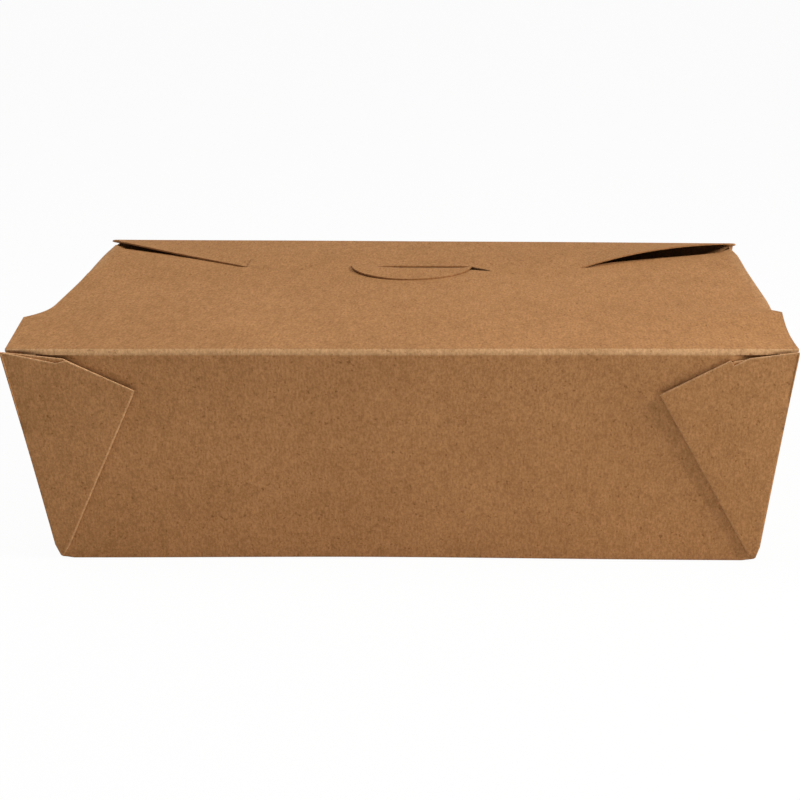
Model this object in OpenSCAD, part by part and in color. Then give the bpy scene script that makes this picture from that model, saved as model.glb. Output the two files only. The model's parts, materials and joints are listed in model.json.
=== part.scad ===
// Takeaway box folded from one sheet of board, closed with a tongue in a slit.
// The front is at -Y, the long side runs along X, and the base rests on z = 0.
// The origin is the middle of the base's underside. Lengths are in millimetres.

/* [Board] */
// Thickness of the board
board = 0.45; // [0.3:0.05:0.7]
// Air between two layers that lie on each other
air = 0.05; // [0.02:0.01:0.12]
// Outer radius of a plain crease
crease_r = 0.9; // [0.75:0.05:1.5]
// Outer radius of the soft fold along the front of the lid
front_fold_r = 1.4; // [0.9:0.1:3]

/* [Box] */
// Length of the base
base_l = 198; // [170:1:212]
// Depth of the base
base_w = 136; // [115:1:155]
// Length of the top
top_l = 215; // [202:1:235]
// Depth of the top
top_w = 160; // [148:1:180]
// Height of the closed box
box_h = 64; // [45:1:95]
// Sideways lean of the top over the base
lean = -0.8; // [-3:0.1:3]

/* [Corner webs] */
// Distance from the top crease down to the tip of a web, along the wall
web_tip_drop = 12; // [6:0.5:25]
// Length of the level part of a web's top edge
web_level = 17; // [8:0.5:22]
// How far that level part falls towards the tip
web_fall = 1.6; // [0.5:0.1:4]
// Distance from the top crease down to a web's top corner
web_gap = 1.3; // [1.1:0.1:3]
// How much farther than even the right webs are folded, in degrees
web_skew = 1.6; // [-3:0.1:3]

/* [Front flap] */
// Depth of the flap's full-width part, to the corners of its shoulders
shoulder_d = 40.5; // [25:0.5:60]
// How far a shoulder flares out past the side of the box
shoulder_flare = 2.3; // [0.5:0.1:6]
// Radius of the curve behind a shoulder
notch_r = 27; // [15:1:45]
// Distance from the side of the box in to the flap's straight edge
side_in = 3.2; // [1:0.1:8]
// Sideways shift of the flap over the box
flap_shift = -1.6; // [-2.5:0.1:2.5]
// Distance from the wings' rear edges to the line of the slit
wing_back = 1.5; // [1:0.5:12]
// Radius of the wings' rear corners
wing_r = 9; // [2:1:20]
// Depth of the part of the flap that lies behind the slit
tail_d = 18; // [8:1:24]
// Radius of the corners of that part
tail_r = 7; // [2:1:8]

/* [Lock] */
// Distance from the front of the lid to the slit
slit_d = 113; // [90:1:120]
// Width of the slit
slit_w = 1.7; // [1.6:0.1:3]
// Play of the tongue at each end of the slit
slit_play = 1; // [0.4:0.1:3]
// Length of the slit's turned end
slit_end_l = 7.5; // [3:0.5:15]
// Angle at which that end turns to the front
slit_end_angle = 33; // [15:1:70]
// Radius of the round tongue
tongue_r = 20.5; // [12:0.5:28]
// Sideways shift of the tongue on the rear flap
tongue_shift = -0.5; // [-4:0.1:4]

/* [Rear flap] */
// Length of the rear flap's free edge
rear_free_l = 108; // [70:1:140]
// Sideways shift of that edge
rear_shift = -1.5; // [-3:0.1:3]
// Distance from the sides of the box in to the tips of the ears
ear_in = 2.2; // [1:0.1:8]
// Distance from the rear crease to the tips of the ears
ear_tip_d = 10; // [4:0.5:20]
// Lift of the right ear, at the highest place of its edge
right_lift = 3; // [0.1:0.1:5]
// Lift of the left ear, at the highest place of its edge
left_lift = 0.5; // [0.1:0.1:5]

/* [End flaps] */
// Length of each end flap
end_flap_l = 62; // [30:1:75]
// Distance from the box's corner in to the end flap's edge, at its crease
end_flap_in = 2.6; // [2:0.1:8]
// How far each edge of an end flap runs inwards, from its crease to its end
end_flap_taper = 8; // [0:0.5:20]
// Radius of an end flap's corners
end_flap_r = 10; // [2:1:20]

/* [Hidden] */
// One layer of board with the air below it
layer = board + air;
// Height of the top face of the rear flap, and of the end flaps
rear_z = box_h - layer;
end_z = box_h - 2 * layer;
// Short straight run of board past a fold, before the flap begins
lip = 0.6;
// Overlap of pieces that are one sheet
joined = 0.2;
// Points along a round fold, and along a round corner
fold_steps = 6;
corner_steps = 8;
// Sideways run of the long walls and of the two end walls, from base to top
long_run = (top_w - base_w) / 2;
right_run = (top_l - base_l) / 2 + lean;
left_run = (top_l - base_l) / 2 - lean;
// Height of a long wall along its slope, and its tilt
long_s = norm([long_run, box_h]);
long_tilt = atan(long_run / box_h);
// Clearance of a long wall's edge from the outside of an end wall, and the small
// step from that edge in to the edge of the web layer on the wall
end_in = board + air;
web_step = 0.1;
// Height at which the end walls have spread to cover the webs' edges
spread_z = 5;
// Distance from the corner at which the front fold begins, and the hinge line
front_fold_run = front_fold_r * tan((90 + long_tilt) / 2);
hinge_d = front_fold_run + lip;
// The rear flap's free edge stands against the rear side of the slit
tongue_play = 0.1;
rear_d = top_w - slit_d - slit_w / 2 + tongue_play;
rear_x = lean + rear_shift;
tongue_x = rear_x + tongue_shift;
flap_x = lean + flap_shift;
// Distance from the front of the lid to the wings' rear edges
wing_d = slit_d - wing_back;
// Steps of an ear's grid, out to its tip and back from its crease
ear_columns = 14;
ear_rows = 5;
// The ears rise with this power of the way out, and highest at ear_high of it
ear_power = 1.4;
ear_span = 1 - ear_tip_d / rear_d;
ear_high = ear_power / (ear_power + 1) / ear_span;
ear_peak = pow(ear_high, ear_power) * (1 - ear_span * ear_high);
// Larger than the box in every direction
beyond = 3 * top_l;

kraft = [0.67, 0.49, 0.33];

// Points along an arc about centre c, from angle a to angle b
function arc(c, r, a, b, n) =
    [for (i = [0 : n]) c + r * [cos(a + (b - a) * i / n), sin(a + (b - a) * i / n)]];

// Unit normal on the right of the way from a to b, which is the outside of a path
// that turns left
function outside(a, b) = let (u = (b - a) / norm(b - a)) [u[1], -u[0]];

// Round corner of a path at b, drawn depth inside the path's own line
function corner(a, b, c, r, depth) =
    let (m = outside(a, b))
    let (n = outside(b, c))
    let (centre = b - (m + n) * r / (1 + m * n))
    let (start = atan2(m[1], m[0]))
    let (turn = acos(m * n))
    arc(centre, r - depth, start, start + turn, fold_steps);

// A path with its inner corners rounded, drawn depth inside its own line
function rounded(path, radii, depth) =
    let (last = len(path) - 1)
    concat(
        [path[0] - outside(path[0], path[1]) * depth],
        [for (i = [1 : last - 1])
            for (p = corner(path[i - 1], path[i], path[i + 1], radii[i - 1], depth)) p],
        [path[last] - outside(path[last - 1], path[last]) * depth]);

function reversed(points) = [for (i = [len(points) - 1 : -1 : 0]) points[i]];

// Outline of a bent strip of board whose outer face follows the path
function strip(path, radii) =
    concat(rounded(path, radii, 0), reversed(rounded(path, radii, board)));

// Distance of the long walls' outer face from the middle at height z
function wall_y(z) = base_w / 2 + long_run * z / box_h;

// Distance of the right and left end walls' outer face from the middle at height z
function right_x(z) = base_l / 2 + right_run * z / box_h;
function left_x(z) = base_l / 2 + left_run * z / box_h;

// Draws the outline, given across Y and Z, as a bar along X
module along_x(length) {
    rotate([90, 0, 90])
        translate([0, 0, -length / 2])
            linear_extrude(length)
                children();
}

// Draws the outline, given across X and Z, as a bar along Y
module along_y(length) {
    rotate([90, 0, 0])
        translate([0, 0, -length / 2])
            linear_extrude(length)
                children();
}

// Front wall, base, rear wall and the folds over them, as one bent strip
module long_strip() {
    path = [
        [hinge_d - top_w / 2, box_h],
        [-top_w / 2, box_h],
        [-base_w / 2, 0],
        [base_w / 2, 0],
        [wall_y(rear_z), rear_z],
        [top_w / 2 - hinge_d, rear_z]
    ];
    radii = [front_fold_r, crease_r, crease_r, front_fold_r];
    intersection() {
        along_x(beyond)
            polygon(strip(path, radii));
        along_y(beyond)
            polygon([
                [end_in - left_x(0), 0],
                [right_x(0) - end_in, 0],
                [right_x(box_h) - end_in, box_h],
                [end_in - left_x(box_h), box_h]
            ]);
    }
}

// Space inside the outlines of the long walls, with the webs' layers on them
module between_long_walls() {
    web_layers = 2 * layer / cos(long_tilt);
    path = [
        [0, box_h],
        [-wall_y(box_h) - web_layers, box_h],
        [-wall_y(spread_z) - web_layers, spread_z],
        [-base_w / 2, 0],
        [base_w / 2, 0],
        [wall_y(spread_z) + web_layers, spread_z],
        [wall_y(box_h) + web_layers, box_h],
        [0, box_h]
    ];
    radii = [crease_r, crease_r, crease_r, crease_r, crease_r, crease_r];
    along_x(beyond)
        polygon(rounded(path, radii, 0));
}

// Outline of one end flap, in from its crease at x = 0
module end_flap_outline() {
    half = top_w / 2 - end_flap_in;
    end_half = half - end_flap_taper;
    slope = atan(end_flap_taper / end_flap_l);
    // Middle of each round corner, with the edges tangent to it
    corner_x = end_flap_l - end_flap_r;
    corner_y = end_half + end_flap_r * tan(slope) - end_flap_r / cos(slope);
    polygon(concat(
        [[-beyond, -half], [0, -half]],
        arc([corner_x, -corner_y], end_flap_r, slope - 90, 0, corner_steps),
        arc([corner_x, corner_y], end_flap_r, 0, 90 - slope, corner_steps),
        [[0, half], [-beyond, half]]));
}

// End walls, base and end flaps, as one bent strip the other way
module end_strip() {
    path = [
        [end_flap_l - left_x(end_z), end_z],
        [-left_x(end_z), end_z],
        [-base_l / 2, 0],
        [base_l / 2, 0],
        [right_x(end_z), end_z],
        [right_x(end_z) - end_flap_l, end_z]
    ];
    radii = [crease_r, crease_r, crease_r, crease_r];
    difference() {
        intersection() {
            along_y(beyond)
                polygon(strip(path, radii));
            between_long_walls();
        }
        // Above the creases only the two flaps stay
        translate([0, 0, end_z - crease_r])
            linear_extrude(box_h)
                difference() {
                    square(beyond, center = true);
                    translate([-left_x(end_z), 0])
                        end_flap_outline();
                    translate([right_x(end_z), 0])
                        mirror([1, 0])
                            end_flap_outline();
                }
    }
}

// Places what is drawn flat on a long wall: x along it, y up it, z outwards
module on_long_wall(rear) {
    rotate([0, 0, rear ? 180 : 0])
        translate([0, -base_w / 2, 0])
            rotate([90 + long_tilt, 0, 0])
                children();
}

// One flat layer of board on a wall, where layer 0 is the wall itself
module web_layer(points, n) {
    translate([0, 0, n * layer - board])
        linear_extrude(board)
            polygon(points);
}

// Closed fold that joins layer n to the next one, along the edge from a to b
module closed_fold(a, b, side, n) {
    across = outside(a, b) * side * board;
    translate([0, 0, n * layer - board / 2])
        linear_extrude(layer)
            polygon([a, b, b + across, a + across]);
}

// The two layers of one corner web, drawn on a long wall at its right end.
// The wall's end runs out by run, and the web is folded by an extra skew.
module web(run, skew) {
    edge_tilt = atan(run / long_s);
    end_tilt = atan(long_run / norm([run, box_h]));
    half_angle = 45 - (edge_tilt + end_tilt) / 2;
    fold_tilt = half_angle + skew - edge_tilt;
    tip_y = long_s - web_tip_drop;
    top_y = long_s - web_gap;
    base_end = [base_l / 2, 0];
    tip = base_end + [-tip_y * tan(fold_tilt), tip_y];
    top = base_end + [run * top_y / long_s, top_y];
    // The foot is as far up the wall as keeps both layers above the base
    foot_y = 2 * layer * tan(long_tilt);
    foot = base_end + [run * foot_y / long_s, foot_y];
    bend = top - [web_level, web_fall];
    inner = [-end_in - web_step, 0];
    web_layer([foot + inner, top + inner, bend, tip], 1);
    web_layer([foot, top, bend - [0, board], tip - [0, board]], 2);
    closed_fold(foot + inner, top + inner, -1, 0);
    closed_fold(foot + inner, tip - [0, board], 1, 1);
}

// Four webs, folded over the outsides of the long walls
module webs() {
    for (rear = [false, true]) {
        on_long_wall(rear)
            web(rear ? left_run : right_run, rear ? -web_skew : web_skew);
        on_long_wall(rear)
            mirror([1, 0, 0])
                web(rear ? right_run : left_run, rear ? web_skew : -web_skew);
    }
}

// Value at fraction t of the way from a to b
function between(a, b, t) = a + (b - a) * t;

// Point on top of the ear on one side, 1 for the right and -1 for the left, at
// fraction out of the way to its tip and back of the way from crease to edge
function ear_point(side, out, back) =
    let (root = rear_x + side * rear_free_l / 2)
    let (crease_half = top_l / 2 - end_in)
    let (tip_half = top_l / 2 - ear_in)
    let (start = hinge_d - joined)
    let (start_half = between(crease_half, tip_half, start / ear_tip_d))
    let (start_x = between(root, lean + side * start_half, out))
    let (edge_x = between(root, lean + side * tip_half, out))
    let (d = between(start, between(rear_d, ear_tip_d, out), back))
    let (lift = side > 0 ? right_lift : left_lift)
    [
        between(start_x, edge_x, back),
        top_w / 2 - d,
        rear_z + lift * pow(out, ear_power) * d / rear_d / ear_peak
    ];

// Rear flap, flat in the middle with a rising ear on each side: one sheet over a
// grid of points, whose rows run from the left tip to the right one
module rear_flap() {
    across = 2 * (ear_columns + 1);
    face = across * (ear_rows + 1);
    points = [for (below = [0, board])
        for (j = [0 : ear_rows])
            for (side = [-1, 1])
                for (i = [0 : ear_columns])
                    let (out = side > 0 ? i : ear_columns - i)
                    ear_point(side, out / ear_columns, j / ear_rows) - [0, 0, below]];
    steps = across - 2;
    faces = concat(
        [for (j = [0 : ear_rows - 1]) for (i = [0 : steps])
            let (p = j * across + i)
            for (t = [[p, p + 1, p + across], [p + 1, p + across + 1, p + across]]) t],
        [for (j = [0 : ear_rows - 1]) for (i = [0 : steps])
            let (p = face + j * across + i)
            for (t = [[p, p + across, p + 1], [p + 1, p + across, p + across + 1]]) t],
        [for (i = [0 : steps])
            for (t = [[i, face + i, i + 1], [i + 1, face + i, face + i + 1]]) t],
        [for (i = [0 : steps])
            let (p = ear_rows * across + i)
            for (t = [[p, p + 1, face + p], [p + 1, face + p + 1, face + p]]) t],
        [for (j = [0 : ear_rows - 1])
            let (p = j * across)
            for (t = [[p, p + across, face + p], [p + across, face + p + across, face + p]]) t],
        [for (j = [0 : ear_rows - 1])
            let (p = j * across + across - 1)
            for (t = [[p, face + p, p + across], [p + across, face + p, face + p + across]]) t]);
    polyhedron(points = points, faces = faces, convexity = 4);
}

// Tongue of the rear flap: it comes up through the slit and lies on the front flap
module tongue() {
    root_y = top_w / 2 - rear_d;
    tongue_z = box_h + air;
    front_y = slit_d - top_w / 2 - slit_w / 2 + tongue_play;
    // The half disc that lies on the front flap
    translate([tongue_x, front_y + board, tongue_z])
        intersection() {
            cylinder(h = board, r = tongue_r, $fn = 96);
            translate([-tongue_r, -tongue_r, 0])
                cube([2 * tongue_r, tongue_r, board]);
        }
    // The neck that rises through the slit
    translate([tongue_x, 0, 0])
        along_x(2 * tongue_r)
            polygon([
                [root_y + joined, rear_z - board],
                [root_y + joined, rear_z],
                [root_y, rear_z + air],
                [front_y + board, tongue_z + board],
                [front_y, tongue_z + board],
                [front_y, tongue_z],
                [root_y - board, rear_z - board]
            ]);
}

// Outline of the front flap's right wing, out from the flap's middle line: the
// shoulder, the curve behind it and the wing's round rear corner
function wing_edge() =
    let (side = top_l / 2 - side_in)
    let (sweep = acos(1 - (shoulder_flare + side_in) / notch_r))
    let (notch_end = shoulder_d + notch_r * sin(sweep))
    concat(
        arc([side + notch_r, notch_end], notch_r, 180 + sweep, 180, corner_steps),
        arc([side - wing_r, wing_d - wing_r], wing_r, 0, 90, corner_steps));

// Outline of the right half of the part behind the slit, which covers the rear
// flap's free edge, out from that edge's middle
function tail_edge() =
    let (half = rear_free_l / 2)
    let (end = slit_d + tail_d)
    concat(
        [[half, wing_d]],
        arc([half - tail_r, end - tail_r], tail_r, 0, 90, corner_steps));

// Points carried to the right of the line at x, and the same points to its left
function to_right(x, points) = [for (p = points) [x + p[0], p[1]]];
function to_left(x, points) = [for (p = reversed(points)) [x - p[0], p[1]]];

// The slit: a straight cut as long as the tongue is wide, and a turned end
module slit() {
    half = tongue_r + slit_play - slit_w / 2;
    translate([tongue_x, slit_d - top_w / 2, box_h - 2 * board]) {
        translate([-half, -slit_w / 2, 0])
            cube([2 * half, slit_w, 3 * board]);
        translate([-half, 0, 0])
            cylinder(h = 3 * board, d = slit_w, $fn = 24);
        translate([half, 0, 0])
            rotate([0, 0, -slit_end_angle]) {
                cylinder(h = 3 * board, d = slit_w, $fn = 24);
                translate([0, -slit_w / 2, 0])
                    cube([slit_end_l, slit_w, 3 * board]);
                translate([slit_end_l, 0, 0])
                    cylinder(h = 3 * board, d = slit_w, $fn = 24);
            }
    }
}

// The folded sheet with everything but the front flap
module carton() {
    color(kraft) {
        long_strip();
        end_strip();
        webs();
        rear_flap();
        tongue();
    }
}

// The front flap, which opens upwards and forwards about the front of the lid
module front_flap() {
    root = top_l / 2 - end_in;
    outline = concat(
        [[lean - root, hinge_d], [lean + root, hinge_d]],
        to_right(flap_x, wing_edge()),
        to_right(rear_x, tail_edge()),
        to_left(rear_x, tail_edge()),
        to_left(flap_x, wing_edge()));
    color(kraft)
        difference() {
            translate([0, -top_w / 2, box_h - board])
                linear_extrude(board)
                    polygon(outline);
            slit();
        }
}

carton();
front_flap();
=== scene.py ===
"""Closed takeaway box: one folded sheet of kraft board, with its material, light and camera.

Lengths are in millimetres until a piece is made, which turns them into metres.
"""
import json
import math

import bmesh
import bpy
from mathutils import Matrix, Vector, noise
from mathutils.geometry import delaunay_2d_cdt


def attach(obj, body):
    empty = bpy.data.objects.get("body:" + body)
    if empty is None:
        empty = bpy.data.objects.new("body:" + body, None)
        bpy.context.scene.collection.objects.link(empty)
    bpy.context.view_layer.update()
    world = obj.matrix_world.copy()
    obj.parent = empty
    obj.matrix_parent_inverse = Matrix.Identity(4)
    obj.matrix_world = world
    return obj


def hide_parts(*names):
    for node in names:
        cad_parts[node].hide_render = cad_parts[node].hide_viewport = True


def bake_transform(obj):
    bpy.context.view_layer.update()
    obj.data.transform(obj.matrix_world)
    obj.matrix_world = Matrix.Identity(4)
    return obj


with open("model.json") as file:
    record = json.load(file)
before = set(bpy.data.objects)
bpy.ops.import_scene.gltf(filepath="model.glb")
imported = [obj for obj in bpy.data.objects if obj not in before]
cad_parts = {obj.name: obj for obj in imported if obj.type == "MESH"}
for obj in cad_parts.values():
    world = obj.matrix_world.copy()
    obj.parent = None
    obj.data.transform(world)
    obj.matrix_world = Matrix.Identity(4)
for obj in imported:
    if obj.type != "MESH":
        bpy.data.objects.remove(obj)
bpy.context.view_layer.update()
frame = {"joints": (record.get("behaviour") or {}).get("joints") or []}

MM = 0.001

# Board: its thickness, how far its faces lie inside the CAD's, the distance from one
# layer to the next, and the folds' radii to the outer face
BOARD = 0.45
TRIM = 0.02
LAYER = 0.5
CREASE_R = 0.9
FOLD_R = 1.4

# Shares of the crease's lighter colour at the folds: partly fibre stretched by folding, partly a
# painted highlight of folds catching the light
FULL_CREASE, END_CREASE, FAINT_CREASE = 1, 0.4, 0.2

# Box: the hinge lies at the height of the lid, and the top a little left of the base
HINGE_Y, BOX_H = (value / MM for value in frame["joints"][0]["pos_m"][1:])
BASE_L, BASE_W = 198, 136
TOP_L, TOP_W = 215, 160
LEAN = -0.8
REAR_Z = BOX_H - LAYER
END_Z = BOX_H - 2 * LAYER
LONG_TILT = math.atan((TOP_W - BASE_W) / 2 / BOX_H)

# Corner webs: the layers come apart over this height above the base, the long wall
# stops this far inside the end wall, and the web turns round the corner on a radius
SPREAD_Z = 5
WALL_END = 1.0
CORNER_R = 0.75

# The long walls lean out this much less, so that the webs' corners stay in the CAD's box
FRONT_ROOM, REAR_ROOM = 0.2, 0.03

# Front fold: its seam with the front flap lies this far in front of the hinge, and its
# ends this far inside the end walls and to the right
SEAM = 0.3
FOLD_IN, FOLD_SHIFT = 0.1, 0.4

# Near the lid's corners the front fold and the top of the wall lie back. Each value
# begins at a distance from the corner or at a height, and is full after its span
FOLD_RECESS = 2.0
FOLD_RECESS_IN, FOLD_RECESS_SPAN = 12, 10
WALL_RECESS = 0.9
WALL_RECESS_Z, WALL_RECESS_RISE = 55, 6
WALL_RECESS_IN, WALL_RECESS_SPAN = 19, 5

# The rear fold's ends are pointed by these distances
REAR_LEFT_POINT, REAR_RIGHT_POINT = 2.6, 1.7

# Front flap: depths are from the front of the lid, and halves from the flap's middle
# line. Its sides run in from the shoulders by a notch to the wings
FLAP_X = LEAN - 1.6
SHOULDER_D, SHOULDER_HALF = 40.8, 109.79
SIDE_HALF = 104.3
NOTCH_L, NOTCH_POWER = 18, 2.6
RIGHT_EDGE_BOW = 0.65
WING_D, WING_R = 111.5, 9
TAIL_D, TAIL_R = 131, 7

# The right shoulder stands up, from this far right, and for so far before and behind it
SHOULDER_LIFT, SHOULDER_POWER = 1.4, 1.6
SHOULDER_FROM, SHOULDER_SPAN = 62, 46
SHOULDER_BEFORE, SHOULDER_BEHIND = 17, 9

# Rear flap: depths are from the rear of the lid. The ears rise towards their tips by
# a lift at most and with a power of the way there
REAR_D = 46.25
REAR_X = LEAN - 1.5
REAR_HALF = 54
EAR_TIP_D, EAR_TIP_HALF = 10, 105.3
RIGHT_LIFT, LEFT_LIFT = 2.65, 1.2
RIGHT_POWER, LEFT_POWER = 1, 5
RIGHT_EAR_BOW = 1.6

# Slit, with this much room at the tongue's sides and an end turned to the front
SLIT_D, SLIT_W, SLIT_PLAY = 112.2, 1.4, 0.3
SLIT_END_L, SLIT_END_W, SLIT_END_ANGLE = 7.5, 3.2, math.radians(33)
SLIT_END_IN, SLIT_END_DROP = 3, 1.2

# Tongue: a half ellipse in front of a straight neck. It rises over the front flap within
# the neck or, where the slit is tight, within a longer way, and its left side stands up
TONGUE_R, TONGUE_HALF = 19.8, 19.4
TONGUE_X = REAR_X - 0.5
NECK, TONGUE_RISE = 1.4, 5
TONGUE_LIFT, TONGUE_BACK_SHARE = 0.42, 0.35
TONGUE_LIFT_IN, TONGUE_LIFT_SPAN = 2, 9

# The slit is tight from this far left of the tongue's middle to its right end
TIGHT_LEFT, TIGHT_LEFT_SPAN = 15, 9
TIGHT_END, TIGHT_END_SPAN = 3, 4

# There the tongue pushes the board up behind the slit and down before it
PUSHED_UP, PUSHED_UP_D = 0.3, 6
PUSHED_DOWN, PUSHED_DOWN_D = 0.9, 8

# End flaps: they narrow towards their free ends on both sides, and hang down behind the
# ears' edges. The sag grows away from the crease and from in front of the ear's edge
END_FLAP_L, END_FLAP_R = 62, 10
END_FLAP_HALF, END_FLAP_TAPER = 71, 37.5
END_FLAP_SAG, SAG_ROOT = 1, 4
SAG_BEFORE, SAG_SPAN = 8, 10

# The board has sprung, so its panels lie a little out of place: more so up the walls and
# towards the front, and the foot of the front wall by itself
UP_SPAN, FRONT_SPAN = 60, 40
FOOT_UP_SPAN, FOOT_FRONT_SPAN = 30, 60

# The rear corners are lifted, from a depth on
REAR_LEFT_LIFT, REAR_RIGHT_LIFT = 1.7, 0.15
REAR_LIFT_D, REAR_LIFT_SPAN = 85, 55

# The top's right edge is drawn in from two depths on, and stands out a little before them
RIGHT_FROM, RIGHT_SPAN = 60, 45
SIDE_IN, SIDE_IN_D, SIDE_IN_SPAN = 0.5, 80, 40
CORNER_IN, CORNER_IN_D, CORNER_IN_SPAN = 0.8, 138, 14
SIDE_OUT, SIDE_OUT_D, SIDE_OUT_SPAN = 0.3, 68, 12

# The front wall bows in between the webs, and so does its foot, most of all at one place
FRONT_BOW, FRONT_BOW_SPAN = 1.1, 40
FOOT_BOW, FOOT_BOW_X, FOOT_BOW_SPAN = 1.6, -10, 60

# Waves in all the panels, with their lengths along X, Y and Z
WAVE_L = (70, 55, 45)
SIDE_WAVE, TOP_WAVE = 0.5, 0.15

# The base's corners are blunt: what stands past a ball of this radius is drawn in to a
# share, and the change from the flat panels is this steep
BLUNT_R, BLUNT_SHARE, BLUNT_SLOPE = 2.1, 0.35, 1.5

# Fineness of the meshes. The walls have one more row close below their tops, at a share
# of their height, so that the colour of a cut edge, a painted highlight on the webs, stays on it
STEPS = 6
WALL_ROWS = 16
EDGE_ROW = 0.008
COLUMNS = 54
END_COLUMNS = 36
END_FLAP_ROWS, END_TIP_ROWS = 14, 8
TURN_STEPS = 8
WEB_SPACING = 4
SPACING = 3.6
# Least distances from an outline and from a given point, as shares of the spacing
OUTLINE_ROOM, POINT_ROOM = 0.4, 0.3
# Points this close become one, and edges this short go
MERGE_DIST, SHORT_EDGE = 0.003, 0.001
SHARP_ANGLE = math.radians(38)

# Seed of the board's waves, so that each run gives the same ones
noise.seed_set(1)


def mix(a, b, t):
    return a + (b - a) * t


def fractions(steps):
    return [i / steps for i in range(steps + 1)]


def smooth(t):
    t = min(1, max(0, t))
    return t * t * (3 - 2 * t)


def taper(z):
    """Share of their full distance apart that the web's layers have at height z."""
    return smooth(z / SPREAD_Z) ** 0.5


def arc(centre, radius, start, end, steps=10):
    """Points on an arc, with its angles in degrees."""
    angles = [math.radians(mix(start, end, t)) for t in fractions(steps)]
    return [Vector(centre) + radius * Vector((math.cos(a), math.sin(a))) for a in angles]


def fillet(a, b, c, radius):
    """Points of the round corner at b, on the way from a to c."""
    to_a, to_c = (a - b).normalized(), (c - b).normalized()
    half = to_a.angle(to_c) / 2
    centre = b + (to_a + to_c).normalized() * radius / math.sin(half)
    first = b + to_a * radius / math.tan(half) - centre
    last = b + to_c * radius / math.tan(half) - centre
    sweep = math.pi - 2 * half
    return [
        centre + (first * math.sin((1 - t) * sweep) + last * math.sin(t * sweep)) / math.sin(sweep)
        for t in fractions(STEPS)
    ]


def bump(t):
    """Smooth hump of height 1 at t = 0."""
    return math.exp(-t * t)


def inset(path, depth):
    """The path moved to its left by depth."""
    normals = []
    for a, b in zip(path, path[1:]):
        along = (b - a).normalized()
        normals.append(Vector((-along.y, along.x)))
    inner = [
        p + (m + n) * depth / (1 + m.dot(n)) for p, m, n in zip(path[1:], normals, normals[1:])
    ]
    return [path[0] + normals[0] * depth, *inner, path[-1] + normals[-1] * depth]


def bowed(start, end, reach, steps):
    """Points from start to end on a shallow bow, with the vector reach at its middle."""
    return [start.lerp(end, t) + reach * 4 * t * (1 - t) for t in fractions(steps)]


class Wall:
    """Section through a wall's middle surface, as points of distance out and height."""

    def __init__(self, base_half, top_half, top_z, fold_r):
        outer = [(0, 0), (base_half, 0), (top_half, top_z), (0, top_z)]
        path = inset([Vector(p) for p in outer], BOARD / 2 + TRIM)
        foot = fillet(*path[:3], CREASE_R - BOARD / 2)
        self.fold = fillet(*path[1:], fold_r - BOARD / 2)
        heights = fractions(WALL_ROWS)
        heights.insert(-1, 1 - EDGE_ROW)
        wall = [foot[-1].lerp(self.fold[0], t) for t in heights]
        self.rows = foot + wall[1:]

    def out(self, z):
        """Distance out at height z."""
        for a, b in zip(self.rows, self.rows[1:]):
            if z <= b.y:
                break
        t = max(0, (z - a.y) / (b.y - a.y))
        return mix(a.x, b.x, t)


def wall_to(base_half, top_half, top_z, fold_r):
    """Wall that leans out to top_half at the lid, with its fold at top_z."""
    return Wall(base_half, mix(base_half, top_half, top_z / BOX_H), top_z, fold_r)


FRONT = wall_to(BASE_W / 2, TOP_W / 2 - FRONT_ROOM, BOX_H, FOLD_R)
REAR = wall_to(BASE_W / 2, TOP_W / 2 - REAR_ROOM, REAR_Z, FOLD_R)
RIGHT = wall_to(BASE_L / 2, TOP_L / 2 + LEAN, END_Z, CREASE_R)
LEFT = wall_to(BASE_L / 2, TOP_L / 2 - LEAN, END_Z, CREASE_R)


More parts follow.
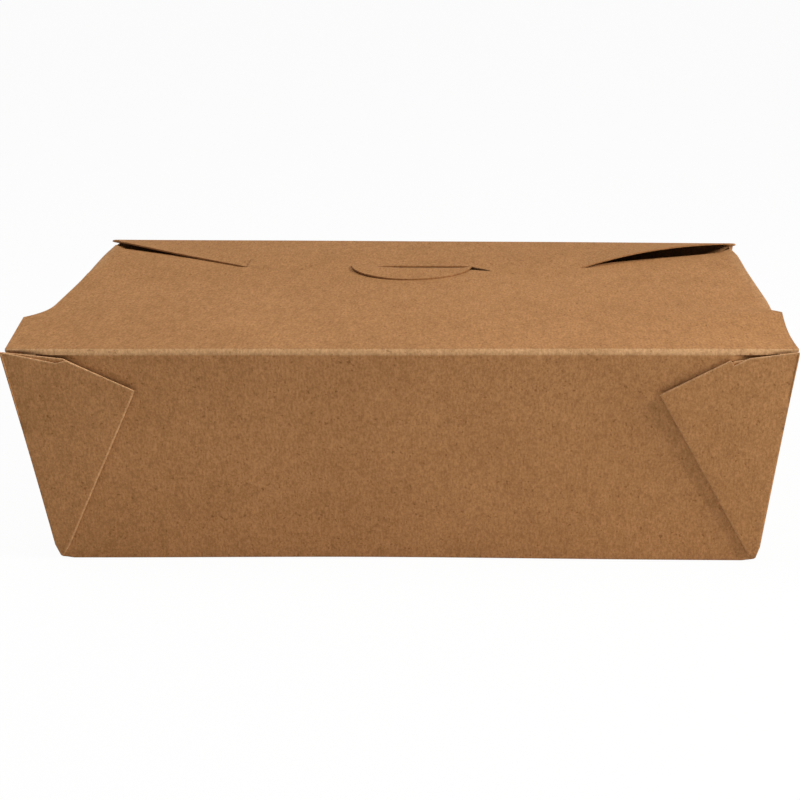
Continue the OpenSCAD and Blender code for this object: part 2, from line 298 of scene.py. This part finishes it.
class Sheet:
    """Middle surface of a sheet of board, in millimetres."""

    def __init__(self):
        self.mesh = bmesh.new()
        self.crease = self.mesh.verts.layers.float.new("crease")

    def grid(self, rows, creases):
        """Adds rows of points. The share of the lighter crease colour, partly stretched fibre and
        partly a painted highlight, is one for each row, or a list of one for each of its points."""
        made = []
        for row, crease in zip(rows, creases):
            made.append([self.mesh.verts.new(p) for p in row])
            shares = crease if isinstance(crease, list) else [crease] * len(row)
            for vert, share in zip(made[-1], shares):
                vert[self.crease] = share
        for low, high in zip(made, made[1:]):
            for i in range(len(low) - 1):
                self.mesh.faces.new((low[i], low[i + 1], high[i + 1], high[i]))

    def panel(self, outline, place, holes=(), extra=()):
        """Adds a flat outline with holes, each of whose points place() puts in space."""
        loops = [outline, *holes]
        points, edges = [], []
        for loop in loops:
            first = len(points)
            points += loop
            edges += [(first + i, first + (i + 1) % len(loop)) for i in range(len(loop))]
        points += inner_points(loops, extra)
        found = delaunay_2d_cdt(points, edges, [], 1, 1e-4)
        verts = [self.mesh.verts.new(place(p)) for p in found[0]]
        for face in found[2]:
            middle = sum((found[0][i] for i in face), Vector((0, 0))) / len(face)
            if within(middle, outline) and not any(within(middle, hole) for hole in holes):
                self.mesh.faces.new([verts[i] for i in face])

    def piece(self, name):
        """Joins what was added, gives it the board's thickness and makes the object."""
        bmesh.ops.remove_doubles(self.mesh, verts=self.mesh.verts, dist=MERGE_DIST)
        bmesh.ops.dissolve_degenerate(self.mesh, edges=self.mesh.edges, dist=SHORT_EDGE)
        bmesh.ops.recalc_face_normals(self.mesh, faces=self.mesh.faces)
        for vert in self.mesh.verts:
            vert.co = warped(vert.co) * MM
        middle = bpy.data.meshes.new(name + "_middle")
        self.mesh.to_mesh(middle)
        obj = bpy.data.objects.new(name, middle)
        bpy.context.scene.collection.objects.link(obj)
        solid = obj.modifiers.new("board", "SOLIDIFY")
        solid.thickness = BOARD * MM
        solid.offset = 0
        solid.material_offset_rim = 1
        obj.data.materials.append(KRAFT)
        obj.data.materials.append(CUT_EDGE_SHADE_AND_HIGHLIGHT)
        bpy.context.view_layer.update()
        graph = bpy.context.evaluated_depsgraph_get()
        mesh = bpy.data.meshes.new_from_object(obj.evaluated_get(graph))
        obj.modifiers.clear()
        obj.data = mesh
        mesh.name = name
        mesh.shade_smooth()
        mesh.set_sharp_from_angle(angle=SHARP_ANGLE)
        return obj


def edge_distance(p, loop):
    """Distance of p from the nearest side of the loop."""
    best = math.inf
    for a, b in zip(loop, loop[1:] + loop[:1]):
        along = b - a
        t = min(1, max(0, (p - a).dot(along) / along.length_squared))
        best = min(best, (p - a - along * t).length)
    return best


def within(p, loop):
    """True if p lies inside the loop."""
    inside = False
    for a, b in zip(loop, loop[1:] + loop[:1]):
        if (a.y > p.y) != (b.y > p.y) and p.x < mix(a.x, b.x, (p.y - a.y) / (b.y - a.y)):
            inside = not inside
    return inside


def inner_points(loops, extra):
    """An even grid of points inside the first loop and outside the others, with the extra ones."""
    outline, holes = loops[0], loops[1:]
    low = Vector((min(p.x for p in outline), min(p.y for p in outline)))
    high = Vector((max(p.x for p in outline), max(p.y for p in outline)))
    across = round((high.x - low.x) / SPACING)
    along = round((high.y - low.y) / SPACING)
    grid = [
        Vector((mix(low.x, high.x, i / across), mix(low.y, high.y, j / along)))
        for j in range(1, along)
        for i in range(1, across)
    ]
    kept = [p for p in grid if within(p, outline) and not any(within(p, h) for h in holes)]
    outline_room, point_room = SPACING * OUTLINE_ROOM, SPACING * POINT_ROOM
    kept = [p for p in kept if all(edge_distance(p, loop) > outline_room for loop in loops)]
    kept = [p for p in kept if all((p - e).length > point_room for e in extra)]
    return kept + list(extra)


def divided(loop):
    """The loop with its long sides divided into even steps."""
    made = []
    for a, b in zip(loop, loop[1:] + loop[:1]):
        steps = max(1, math.ceil((b - a).length / SPACING))
        made += [a.lerp(b, i / steps) for i in range(steps)]
    return made


def blunted(p):
    """The point drawn in towards a base corner's middle, which makes the corner blunt."""
    height = p.z / BOX_H
    half_l = mix(BASE_L, TOP_L, height) / 2
    half_w = mix(BASE_W, TOP_W, height) / 2
    middle = Vector((half_l - BLUNT_R, half_w - BLUNT_R, BLUNT_R))
    away = Vector((abs(p.x), abs(p.y), p.z)) - middle
    inside = min(away.x, away.y, -away.z)
    radius = BLUNT_R - BOARD / 2
    if inside <= 0 or away.length <= radius:
        return p
    length = radius + BLUNT_SHARE * (away.length - radius)
    drawn = middle + away.normalized() * length
    drawn = Vector((math.copysign(drawn.x, p.x), math.copysign(drawn.y, p.y), drawn.z))
    return p.lerp(drawn, smooth(BLUNT_SLOPE * inside / BLUNT_R))


def warped(p):
    """Where a point of the plain box lies in the real one: the same for all the layers."""
    depth = p.y + TOP_W / 2
    height = p.z / BOX_H
    # Shares of the way to the lid, to its right edge, to the front and to the front's foot
    top = smooth(p.z / UP_SPAN)
    right = smooth((p.x - RIGHT_FROM) / RIGHT_SPAN)
    front = smooth(-p.y / FRONT_SPAN)
    foot = (1 - smooth(p.z / FOOT_UP_SPAN)) * smooth(-p.y / FOOT_FRONT_SPAN)

    drawn_in = SIDE_IN * smooth((depth - SIDE_IN_D) / SIDE_IN_SPAN)
    drawn_in += CORNER_IN * smooth((depth - CORNER_IN_D) / CORNER_IN_SPAN)
    stands_out = SIDE_OUT * bump((depth - SIDE_OUT_D) / SIDE_OUT_SPAN)
    between_webs = smooth((BASE_L / 2 - abs(p.x)) / FRONT_BOW_SPAN)
    bow = FRONT_BOW * 4 * height * (1 - height) * front * between_webs
    bow += FOOT_BOW * foot * bump((p.x - FOOT_BOW_X) / FOOT_BOW_SPAN)
    left_share = (TOP_L / 2 - p.x) / TOP_L
    lift = mix(REAR_RIGHT_LIFT, REAR_LEFT_LIFT, left_share)
    lift *= smooth((depth - REAR_LIFT_D) / REAR_LIFT_SPAN)
    waves = noise.noise_vector(Vector([value / length for value, length in zip(p, WAVE_L)]))
    side_wave = SIDE_WAVE * height * max(0, 1 - height)
    moved = Vector((
        waves.x * side_wave + top * right * (stands_out - drawn_in),
        waves.y * side_wave + bow,
        top * (lift + TOP_WAVE * waves.z),
    ))
    return blunted(p) + moved


# Long strip: front fold, front wall, base, rear wall and rear fold
def wall_end(side, k, long):
    """Distance out of a long wall's end at row k."""
    return side.rows[k].x - WALL_END * taper(long.rows[k].y)


def free_end(side):
    """Distance out of the front fold's end, past the webs."""
    return side.out(BOX_H) - FOLD_IN + (FOLD_SHIFT if side is RIGHT else -FOLD_SHIFT)


def recess(p, folded):
    """How far the front wall, or its fold, lies back near a corner of the lid. That opens a
    dark gap over the web."""
    inside = TOP_L / 2 + math.copysign(LEAN, p.x) - abs(p.x)
    if folded:
        return FOLD_RECESS * smooth((FOLD_RECESS_IN - inside) / FOLD_RECESS_SPAN)
    up = smooth((p.z - WALL_RECESS_Z) / WALL_RECESS_RISE)
    return WALL_RECESS * up * smooth((WALL_RECESS_IN - inside) / WALL_RECESS_SPAN)


def long_strip(sheet):
    """Adds the long strip, and returns the last row of points, at the rear flap's crease."""
    rows, creases = [], []

    def add(y, z, left, right, crease):
        rows.append([Vector((mix(-left, right, t), y, z)) for t in fractions(COLUMNS)])
        creases.append(crease)

    def fold_end(side, long, i):
        """Distance out of the strip's end at step i of a fold."""
        return mix(wall_end(side, -1, long), free_end(side), smooth(2 * i / STEPS))

    top = FRONT.fold[-1]
    add(HINGE_Y - SEAM, top.y, free_end(LEFT), free_end(RIGHT), FAINT_CREASE)
    # The front fold gets the full lighter crease colour: partly stretched fibre, partly a painted
    # highlight of the fold that faces the light
    for i in range(STEPS, 0, -1):
        p = FRONT.fold[i]
        add(-p.x, p.y, fold_end(LEFT, FRONT, i), fold_end(RIGHT, FRONT, i), FULL_CREASE)
        for q in rows[-1]:
            q.y += recess(q, folded=True) * (1 - i / STEPS)
    for k in range(len(FRONT.rows) - 1, -1, -1):
        p = FRONT.rows[k]
        add(-p.x, p.y, wall_end(LEFT, k, FRONT), wall_end(RIGHT, k, FRONT), 0)
        for q in rows[-1]:
            q.y += recess(q, folded=False)
    for t in fractions(END_COLUMNS)[1:-1]:
        y = mix(-FRONT.rows[0].x, REAR.rows[0].x, t)
        add(y, BOARD / 2, LEFT.rows[0].x, RIGHT.rows[0].x, 0)
    for k, p in enumerate(REAR.rows):
        add(p.x, p.y, wall_end(LEFT, k, REAR), wall_end(RIGHT, k, REAR), 0)
    for i in range(1, STEPS + 1):
        p = REAR.fold[i]
        point = math.sin(math.pi * i / STEPS)
        left = fold_end(LEFT, REAR, i) + REAR_LEFT_POINT * point
        right = fold_end(RIGHT, REAR, i) + REAR_RIGHT_POINT * point
        add(p.x, p.y, left, right, FAINT_CREASE)
    sheet.grid(rows, creases)
    return rows[-1]


class Web:
    """Cut lines of a web's two layers: points of distance in from the base's corner and up
    the wall, from the corner of the box to the web's tip. The tip stands off the wall by
    tip_lift, and fold_crease_and_highlight is the share of the lighter crease colour at the fold
    below it: partly stretched fibre, partly a painted highlight where the fold faces the light."""

    def __init__(self, inner, outer, tip_lift, fold_crease_and_highlight=FAINT_CREASE):
        self.inner = self.columns(inner)
        self.outer = self.columns(outer)
        self.tip_lift = tip_lift
        self.fold_crease_and_highlight = fold_crease_and_highlight

    def columns(self, line):
        """Points along the cut line, as distance out from the box's middle and height."""
        points = []
        for a, b in zip(line, line[1:]):
            steps = max(1, round(math.dist(a, b) / WEB_SPACING))
            points += [Vector(a).lerp(Vector(b), i / steps) for i in range(steps)]
        points.append(Vector(line[-1]))
        return [Vector((BASE_L / 2 - p.x, p.y * math.cos(LONG_TILT))) for p in points]

    def point(self, side, long, top, share, lift):
        """Point of a layer at a share of the way from the foot to top, in the frame of the
        front right corner. lift is the layer's height off the wall."""
        z = mix(BOARD / 2, top.y, share)
        corner_in = CORNER_R if lift > LAYER else WALL_END
        across = side.out(top.y) - corner_in - top.x
        x = side.out(z) - corner_in * taper(z) - share * across
        tip = max(0, across / self.width(side)) ** 2 * share**2
        off = lift * taper(z) + self.tip_lift * tip
        return Vector((x, -long.out(z) - off * math.cos(LONG_TILT), z - off * math.sin(LONG_TILT)))

    def width(self, side):
        """Distance from the end wall's edge to the web's tip."""
        tip = self.outer[-1]
        return side.out(tip.y) - tip.x

    def creases(self):
        """Shares of the lighter crease colour, partly a painted highlight, along a row round the
        corner: only the web's fold has it.
        """
        before, after = TURN_STEPS + len(self.inner), len(self.outer) + TURN_STEPS
        return [0] * before + [self.fold_crease_and_highlight] * (TURN_STEPS - 1) + [0] * after


def turn(a, b, reach, steps=TURN_STEPS):
    """Points of a closed fold between a and b, which reaches out by the vector reach."""
    middle = (a + b) / 2
    radius = (a - b).length / 2
    angles = [math.pi * i / steps for i in range(1, steps)]
    return [middle + (a - middle) * math.cos(t) + reach * radius * math.sin(t) for t in angles]


def corner_row(side, long, web, k):
    """Row k round a corner, from the long wall's end to the end wall's edge."""
    foot, top = side.rows[0].y, side.rows[-1].y
    share = (side.rows[k].y - foot) / (top - foot)
    wall = Vector((wall_end(side, k, long), -long.rows[k].x, long.rows[k].y))
    inner = [web.point(side, long, p, share, LAYER) for p in web.inner]
    outer = [web.point(side, long, p, share, 2 * LAYER) for p in web.outer]
    tip = web.outer[-1]
    slope = Vector((tip.x - BASE_L / 2, tip.y)).normalized()
    away = Vector((-slope.y, 0, slope.x))
    edge_z = side.rows[k].y
    radius = CORNER_R * taper(edge_z)
    edge_y = -long.out(edge_z) - 2 * LAYER * taper(edge_z) * math.cos(LONG_TILT) + radius
    edge = Vector((side.rows[k].x, edge_y, edge_z))
    last = outer[0]
    bend = []
    for t in fractions(TURN_STEPS)[1:]:
        angle = t * math.pi / 2
        x = mix(last.x, edge.x, math.sin(angle))
        y = mix(last.y, edge.y, 1 - math.cos(angle))
        bend.append(Vector((x, y, mix(last.z, edge.z, t))))
    bend[-1] = edge
    return [
        wall,
        *turn(wall, inner[0], Vector((1, 0, 0))),
        *inner,
        *turn(inner[-1], outer[-1], away),
        *outer[::-1],
        *bend,
    ]


def sag(out, y):
    """How far an end flap hangs down at the ear's edge and behind it."""
    along = (out - REAR_HALF) / (EAR_TIP_HALF - REAR_HALF)
    edge_y = TOP_W / 2 - mix(REAR_D, EAR_TIP_D, along)
    return END_FLAP_SAG * smooth(along) * smooth((y - edge_y + SAG_BEFORE) / SAG_SPAN)


def end_strip(sheet, side, front_web, rear_web, sign):
    """Adds an end wall with both its webs, and its flap. sign is 1 for the right end."""

    def placed(points, rear=False):
        """The points of the front right corner, moved to another one."""
        return [Vector((p.x * sign, -p.y if rear else p.y, p.z)) for p in points]

    rows = []
    for k in range(len(side.rows)):
        front = placed(corner_row(side, FRONT, front_web, k))
        rear = placed(corner_row(side, REAR, rear_web, k), rear=True)
        wall = [front[-1].lerp(rear[-1], t) for t in fractions(END_COLUMNS)[1:-1]]
        rows.append(front + wall + rear[::-1])
    folds = front_web.creases() + [0] * len(wall) + rear_web.creases()[::-1]
    # The webs' top cut edges get the light colour: partly raw pulp, partly a painted highlight of
    # edges catching the light
    cut_edge = [1] * len(front) + [0] * len(wall) + [1] * len(rear)
    sheet.grid(rows, [folds] * (len(rows) - 1) + [cut_edge])
    end_flap(sheet, side, front[-1].y, rear[-1].y, sign)


def end_flap(sheet, side, front_y, rear_y, sign):
    """Adds the fold at the top of an end wall, from front_y to rear_y, and the flap."""
    rows, creases = [], []
    # The fold narrows quickly from the wall's width to the flap's
    for i, p in enumerate(side.fold):
        t = (i / STEPS) ** 0.3
        low, high = mix(front_y, -END_FLAP_HALF, t), mix(rear_y, END_FLAP_HALF, t)
        rows.append([Vector((sign * p.x, mix(low, high, u), p.y)) for u in fractions(END_COLUMNS)])
        creases.append(END_CREASE)
    crease = side.fold[-1]
    straight = END_FLAP_L - END_FLAP_R
    reaches = [straight * t for t in fractions(END_FLAP_ROWS)[1:]]
    for t in fractions(END_TIP_ROWS)[1:]:
        reaches.append(straight + END_FLAP_R * math.sin(t * math.pi / 2))
    for reach in reaches:
        past = min(END_FLAP_R, max(0, reach - straight))
        half = END_FLAP_HALF - END_FLAP_TAPER * reach / END_FLAP_L
        half -= END_FLAP_R - math.sqrt(END_FLAP_R**2 - past**2)
        x = sign * (crease.x - reach)
        row = [Vector((x, mix(-half, half, u), crease.y)) for u in fractions(END_COLUMNS)]
        for p in row:
            p.z -= sag(abs(p.x), p.y) * smooth(reach / SAG_ROOT)
        rows.append(row)
        creases.append(0)
    sheet.grid(rows, creases)


# Rear flap with its ears and tongue, seen in plan
def ear_rise(x, y):
    """Rise of an ear over the rear flap's plane."""
    side = 1 if x > REAR_X else -1
    root = REAR_HALF + side * REAR_X
    tip = EAR_TIP_HALF + side * LEAN
    out = max(0, (side * x - root) / (tip - root))
    lift, power = (RIGHT_LIFT, RIGHT_POWER) if side > 0 else (LEFT_LIFT, LEFT_POWER)
    span = 1 - EAR_TIP_D / REAR_D
    high = min(1, power / (power + 1) / span)
    peak = high**power * (1 - span * high)
    crease_y = REAR.fold[-1].x
    depth = (crease_y - y) / (crease_y - TOP_W / 2 + REAR_D)
    return lift * out**power * depth / peak


def in_slit(x):
    """How tight the slit is at x, from 0 to 1."""
    across = x - TONGUE_X
    past_end = smooth((abs(across) - TONGUE_HALF + TIGHT_END) / TIGHT_END_SPAN)
    return smooth((across + TIGHT_LEFT) / TIGHT_LEFT_SPAN) * (1 - past_end)


def rear_place(p):
    """Puts a point of the rear flap or the tongue in space."""
    past = TOP_W / 2 - REAR_D - p.y
    z = REAR_Z - BOARD / 2
    if past > 0:
        risen = smooth(past / mix(NECK, TONGUE_RISE, in_slit(p.x)))
        left = smooth((TONGUE_X - TONGUE_LIFT_IN - p.x) / (TONGUE_R - TONGUE_LIFT_IN))
        front = smooth((past - NECK) / TONGUE_LIFT_SPAN)
        z += risen * (2 * LAYER + TONGUE_LIFT * left * mix(TONGUE_BACK_SHARE, 1, front))
    else:
        z += ear_rise(p.x, p.y)
    return Vector((p.x, p.y, z))


def rear_flap(sheet, crease_row):
    """Adds the rear flap in front of its crease, with the ears and the tongue."""
    free_y = TOP_W / 2 - REAR_D
    tip_y = TOP_W / 2 - EAR_TIP_D
    disc_y = free_y - NECK
    crease = [p.to_2d() for p in crease_row]
    left = [
        Vector((LEAN - EAR_TIP_HALF, tip_y)),
        Vector((REAR_X - REAR_HALF, free_y)),
        Vector((TONGUE_X - TONGUE_HALF, free_y)),
    ]
    disc = [
        Vector((TONGUE_X + p.x * TONGUE_HALF, disc_y + p.y * TONGUE_R))
        for p in arc((0, 0), 1, 180, 360, 40)
    ]
    root, tip = Vector((REAR_X + REAR_HALF, free_y)), Vector((LEAN + EAR_TIP_HALF, tip_y))
    right = [Vector((TONGUE_X + TONGUE_HALF, free_y))]
    right += bowed(root, tip, Vector((0, RIGHT_EAR_BOW)), 12)
    outline = divided(left + disc + right + [crease[-1]])
    outline = outline[: outline.index(crease[-1])] + crease[::-1]
    # Points close together where the neck bends up
    neck = [
        Vector((TONGUE_X + x, free_y - y))
        for y in [NECK * t for t in fractions(6)]
        for x in range(-18, 19, 2)
    ]
    sheet.panel(outline, rear_place, extra=neck)


# Front flap, seen in plan
def wing_edge():
    """Right edge of the full-width part from its shoulder, out from the flap's middle line."""
    flare = SHOULDER_HALF - SIDE_HALF
    notch = [
        Vector((SIDE_HALF + flare * (1 - t) ** NOTCH_POWER, SHOULDER_D + NOTCH_L * t))
        for t in fractions(10)
    ]
    return notch + arc((SIDE_HALF - WING_R, WING_D - WING_R), WING_R, 0, 90)


def tail_edge():
    """Right edge of the part behind the slit, out from the rear flap's middle line."""
    round_end = arc((REAR_HALF - TAIL_R, TAIL_D - TAIL_R), TAIL_R, 0, 90)
    return [Vector((REAR_HALF, WING_D)), *round_end]


def slit():
    """Outline of the slit with its turned end, open on the right and closing to the left."""
    half, r = TONGUE_HALF + SLIT_PLAY, SLIT_W / 2
    turned = Vector((math.cos(SLIT_END_ANGLE), -math.sin(SLIT_END_ANGLE)))
    across = Vector((-turned.y, turned.x)) * SLIT_END_W / 2
    joint = Vector((half, -r - SLIT_END_DROP))
    tip = joint + turned * SLIT_END_L
    # Shares of the way along the turned end, and of its full width there
    widths = [(0, 1), (0.5, 0.8), (1, 0.1)]
    front_side = [joint.lerp(tip, t) - across * width for t, width in widths]
    rear_side = [joint.lerp(tip, t) + across * width for t, width in reversed(widths)]
    before = [Vector((-half, -r)), Vector((half - SLIT_END_IN, -r))]
    behind = [Vector((half, r)), Vector((-half, r))]
    loop = before + front_side + rear_side + behind
    return [p + Vector((TONGUE_X, SLIT_D)) for p in loop]


def front_place(p):
    """Puts a point of the front flap in space; its second coordinate is the depth."""
    right = smooth((p.x - SHOULDER_FROM) / SHOULDER_SPAN) ** SHOULDER_POWER
    span = SHOULDER_BEFORE if p.y < SHOULDER_D else SHOULDER_BEHIND
    lift = SHOULDER_LIFT * right * bump((p.y - SHOULDER_D) / span)
    past = p.y - SLIT_D
    if past > 0:
        bend = PUSHED_UP * (1 - smooth(past / PUSHED_UP_D))
    else:
        bend = -PUSHED_DOWN * (1 - smooth(-past / PUSHED_DOWN_D))
    z = BOX_H - BOARD / 2 + lift + bend * in_slit(p.x)
    return Vector((p.x, p.y - TOP_W / 2, z))


def front_flap(sheet, root_row):
    """Adds the front flap behind its hinge."""
    depth = [Vector((p.x, p.y + TOP_W / 2)) for p in root_row]
    wing = [Vector((FLAP_X + p.x, p.y)) for p in wing_edge()]
    to_shoulder = bowed(depth[-1], wing[0], Vector((-RIGHT_EDGE_BOW, 0)), 10)
    right = to_shoulder[:-1] + wing
    right += [Vector((REAR_X + p.x, p.y)) for p in tail_edge()]
    left = [Vector((REAR_X - p.x, p.y)) for p in reversed(tail_edge())]
    left += [Vector((FLAP_X - p.x, p.y)) for p in reversed(wing_edge())]
    outline = divided(right + left + [depth[0]])
    outline = outline[: outline.index(depth[0])] + depth[:-1]
    sheet.panel(outline, front_place, holes=[divided(slit())])


# Materials
def node(tree, kind, inputs=None, **settings):
    """A shader node with its settings, and its inputs as values or links."""
    made = tree.nodes.new("ShaderNode" + kind)
    for key, value in settings.items():
        setattr(made, key, value)
    for key, value in (inputs or {}).items():
        if isinstance(value, bpy.types.NodeSocket):
            tree.links.new(value, made.inputs[key])
        else:
            made.inputs[key].default_value = value
    return made


def empty_material(name):
    """A material with no nodes but its output."""
    material = bpy.data.materials.new(name)
    material.use_nodes = True
    material.node_tree.nodes.clear()
    output = material.node_tree.nodes.new("ShaderNodeOutputMaterial")
    return material, material.node_tree, output


def linear(red, green, blue):
    """An sRGB colour, from 0 to 255, as Blender's linear one."""
    made = []
    for value in (red, green, blue):
        v = value / 255
        made.append(v / 12.92 if v <= 0.04045 else ((v + 0.055) / 1.055) ** 2.4)
    return (*made, 1)


def kraft_board(name, colour, crease_and_highlight_colour):
    """Brown kraft board: mottled pulp, fibres that run from front to rear, and dark specks."""
    material, tree, output = empty_material(name)
    place = node(tree, "TexCoord").outputs["Object"]

    def pulp(scale, stretch, detail, rough=0.6):
        """Noise of a size given in millimetres, longer along each axis by its stretch."""
        mapped = node(tree, "Mapping", {"Vector": place, "Scale": [1 / value for value in stretch]})
        texture = node(
            tree,
            "TexNoise",
            {
                "Vector": mapped.outputs[0],
                "Scale": 1 / (scale * MM),
                "Detail": detail,
                "Roughness": rough,
            },
        )
        return texture.outputs["Fac"]

    def shaded(under, factor, low, high, dark):
        """The colour under, times dark where factor is low and white where it is high."""
        range_ = node(
            tree,
            "MapRange",
            {"Value": factor, "From Min": low, "From Max": high},
            interpolation_type="SMOOTHSTEP",
        )
        tint = node(tree, "Mix", {0: range_.outputs[0], 6: dark, 7: (1, 1, 1, 1)}, data_type="RGBA")
        times = node(
            tree,
            "Mix",
            {0: 1.0, 6: under, 7: tint.outputs[2]},
            data_type="RGBA",
            blend_type="MULTIPLY",
        )
        return times.outputs[2]

    cloud = pulp(26, (1, 1.4, 1), 2)
    mottle = pulp(2.6, (1, 2, 1.2), 3)
    grain = pulp(0.65, (1, 2.2, 1.3), 3, 0.75)
    strands = pulp(0.45, (1, 9, 5), 1)
    specks = pulp(0.8, (1, 2.5, 1), 0)
    # Lighter colour at the folds: partly stretched fibre, partly a painted highlight of folds
    # catching the light
    crease = node(tree, "Attribute", attribute_name="crease").outputs["Fac"]
    base = node(tree, "Mix", {0: crease, 6: colour, 7: crease_and_highlight_colour}, data_type="RGBA").outputs[2]
    base = shaded(base, cloud, 0.3, 0.7, (0.93, 0.92, 0.9, 1))
    base = shaded(base, mottle, 0.32, 0.66, (0.9, 0.885, 0.86, 1))
    base = shaded(base, grain, 0.32, 0.66, (0.71, 0.68, 0.65, 1))
    base = shaded(base, strands, 0.3, 0.6, (0.9, 0.89, 0.87, 1))
    base = shaded(base, specks, 0.2, 0.26, (0.7, 0.66, 0.6, 1))
    relief = node(tree, "Math", {0: grain, 1: mottle}, operation="ADD").outputs[0]
    bumped = node(tree, "Bump", {"Height": relief, "Strength": 0.4, "Distance": 0.05 * MM})
    shader = node(
        tree,
        "BsdfPrincipled",
        {
            "Base Color": base,
            "Roughness": 0.8,
            "Specular IOR Level": 0.1,
            "Normal": bumped.outputs[0],
        },
    )
    tree.links.new(shader.outputs[0], output.inputs[0])
    return material


# The board's faces, with lighter creases that are partly stretched fibre and partly a painted
# highlight; and its cut edges, painted darker as painted shade at the ears and tongue, and bright on
# the webs as partly raw pulp, partly a painted highlight of edges catching the light
KRAFT = kraft_board("kraft_board", linear(188, 137, 89), linear(204, 160, 115))
CUT_EDGE_SHADE_AND_HIGHLIGHT = kraft_board("kraft_cut_edge_painted_light", linear(172, 124, 80), linear(220, 172, 126))


def build():
    """Makes both pieces of the sheet, and sets the carton's on its body."""
    right_web = Web(
        inner=[(-6.9, 64.3), (9.2, 62.1), (28.7, 52.3)],
        outer=[(-7.6, 64.9), (5.6, 63.1), (9.6, 61.0), (10.6, 62.5), (28.7, 52.7)],
        tip_lift=0.8,
    )
    left_web = Web(
        inner=[(-8.8, 64.6), (7.4, 62.8), (25.9, 53.5)],
        outer=[(-9.4, 64.9), (5.6, 61.7), (8.3, 62.5), (25.9, 53.9)],
        tip_lift=1.0,
        # This fold faces the light, so its brighter fold colour is a painted highlight
        fold_crease_and_highlight=0.65,
    )
    rear_web = Web(
        inner=[(-8, 64), (9, 62.4), (27.5, 53)],
        outer=[(-8, 64), (9, 62.2), (27.5, 53)],
        tip_lift=0.4,
    )
    carton = Sheet()
    crease_row = long_strip(carton)
    end_strip(carton, RIGHT, right_web, rear_web, 1)
    end_strip(carton, LEFT, left_web, rear_web, -1)
    rear_flap(carton, crease_row)
    carton_piece = carton.piece("carton_sheet")
    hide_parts("carton")
    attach(carton_piece, "carton")

    flap = Sheet()
    seam_y = HINGE_Y - SEAM
    root_row = [
        Vector((mix(-free_end(LEFT), free_end(RIGHT), t), seam_y)) for t in fractions(COLUMNS)
    ]
    front_flap(flap, root_row)
    flap_piece = flap.piece("front_flap_sheet")
    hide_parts("front_flap")
    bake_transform(flap_piece)


build()


# Stage, light and camera
def seen_directly(tree):
    """1 for the camera's rays and for those of gloss and glass, and 0 for the others."""
    path = node(tree, "LightPath").outputs
    seen = path["Is Camera Ray"]
    for kind in ("Is Glossy Ray", "Is Transmission Ray"):
        seen = node(tree, "Math", {0: seen, 1: path[kind]}, operation="MAXIMUM").outputs[0]
    return seen


def white_room():
    """A pale floor that keeps the shadow, under a pale sky."""
    white_share = 0.96
    sky_light = 0.2
    material, tree, output = empty_material("pale_floor")
    plain = node(tree, "BsdfDiffuse", {"Color": (0.9, 0.9, 0.9, 1)})
    bright = node(tree, "Emission", {"Color": (1, 1, 1, 1), "Strength": 1.0})
    share = node(tree, "Math", {0: seen_directly(tree), 1: white_share}, operation="MULTIPLY")
    mixed = node(tree, "MixShader", {0: share.outputs[0], 1: plain.outputs[0], 2: bright.outputs[0]})
    tree.links.new(mixed.outputs[0], output.inputs[0])
    mesh = bpy.data.meshes.new("floor")
    reach = 3
    corners = [(-reach, -reach, 0), (reach, -reach, 0), (reach, reach, 0), (-reach, reach, 0)]
    mesh.from_pydata(corners, [], [(0, 1, 2, 3)])
    mesh.materials.append(material)
    floor = bpy.data.objects.new("floor", mesh)
    # Just clear of the box's underside
    floor.location.z = -0.02 * MM
    bpy.context.scene.collection.objects.link(floor)

    world = bpy.data.worlds.new("pale_sky")
    world.use_nodes = True
    tree = world.node_tree
    tree.nodes.clear()
    output = tree.nodes.new("ShaderNodeOutputWorld")
    sky = node(tree, "Background", {"Color": (1, 1, 1, 1), "Strength": sky_light})
    white = node(tree, "Background", {"Color": (1, 1, 1, 1), "Strength": 1.0})
    mixed = node(tree, "MixShader", {0: seen_directly(tree), 1: sky.outputs[0], 2: white.outputs[0]})
    tree.links.new(mixed.outputs[0], output.inputs[0])
    bpy.context.scene.world = world


def area_light(name, place, aim, size, power):
    """A square area light that faces aim. Lengths are in metres."""
    data = bpy.data.lights.new(name, "AREA")
    data.size = size
    data.energy = power
    lamp = bpy.data.objects.new(name, data)
    lamp.location = place
    lamp.rotation_mode = "QUATERNION"
    lamp.rotation_quaternion = (Vector(aim) - Vector(place)).to_track_quat("-Z", "Y")
    bpy.context.scene.collection.objects.link(lamp)


def lights():
    """A light on the right, and a soft one overhead."""
    box_front = (0, -0.02, 0.03)
    area_light("key", (0.6, -0.3, 0.45), box_front, size=0.2, power=5.0)
    area_light("overhead", (-0.24, -0.1, 0.77), box_front, size=0.45, power=2.6)


def camera():
    """The photograph's camera, worked out from the corners of the box in it."""
    focal_px, centre_px, frame_px = 1918.6, 450.5, 800
    place = Vector((30.9, -579.9, 186.0)) * MM
    pitch, yaw, roll = 0.2651, -0.035, -0.008
    ahead = Vector((math.sin(yaw), math.cos(yaw), 0))
    right = Vector((math.cos(yaw), -math.sin(yaw), 0))
    view = ahead * math.cos(pitch) - Vector((0, 0, math.sin(pitch)))
    up = ahead * math.sin(pitch) + Vector((0, 0, math.cos(pitch)))
    picture_right = right * math.cos(roll) + up * math.sin(roll)
    picture_up = up * math.cos(roll) - right * math.sin(roll)
    data = bpy.data.cameras.new("camera")
    data.sensor_width = 36
    data.lens = focal_px / frame_px * data.sensor_width
    data.shift_x = (frame_px / 2 - centre_px) / frame_px
    obj = bpy.data.objects.new("camera", data)
    turned = Matrix((picture_right, picture_up, -view)).transposed()
    obj.matrix_world = Matrix.Translation(place) @ turned.to_4x4()
    bpy.context.scene.collection.objects.link(obj)
    bpy.context.scene.camera = obj


white_room()
lights()
camera()
bpy.context.scene.view_settings.view_transform = "Standard"
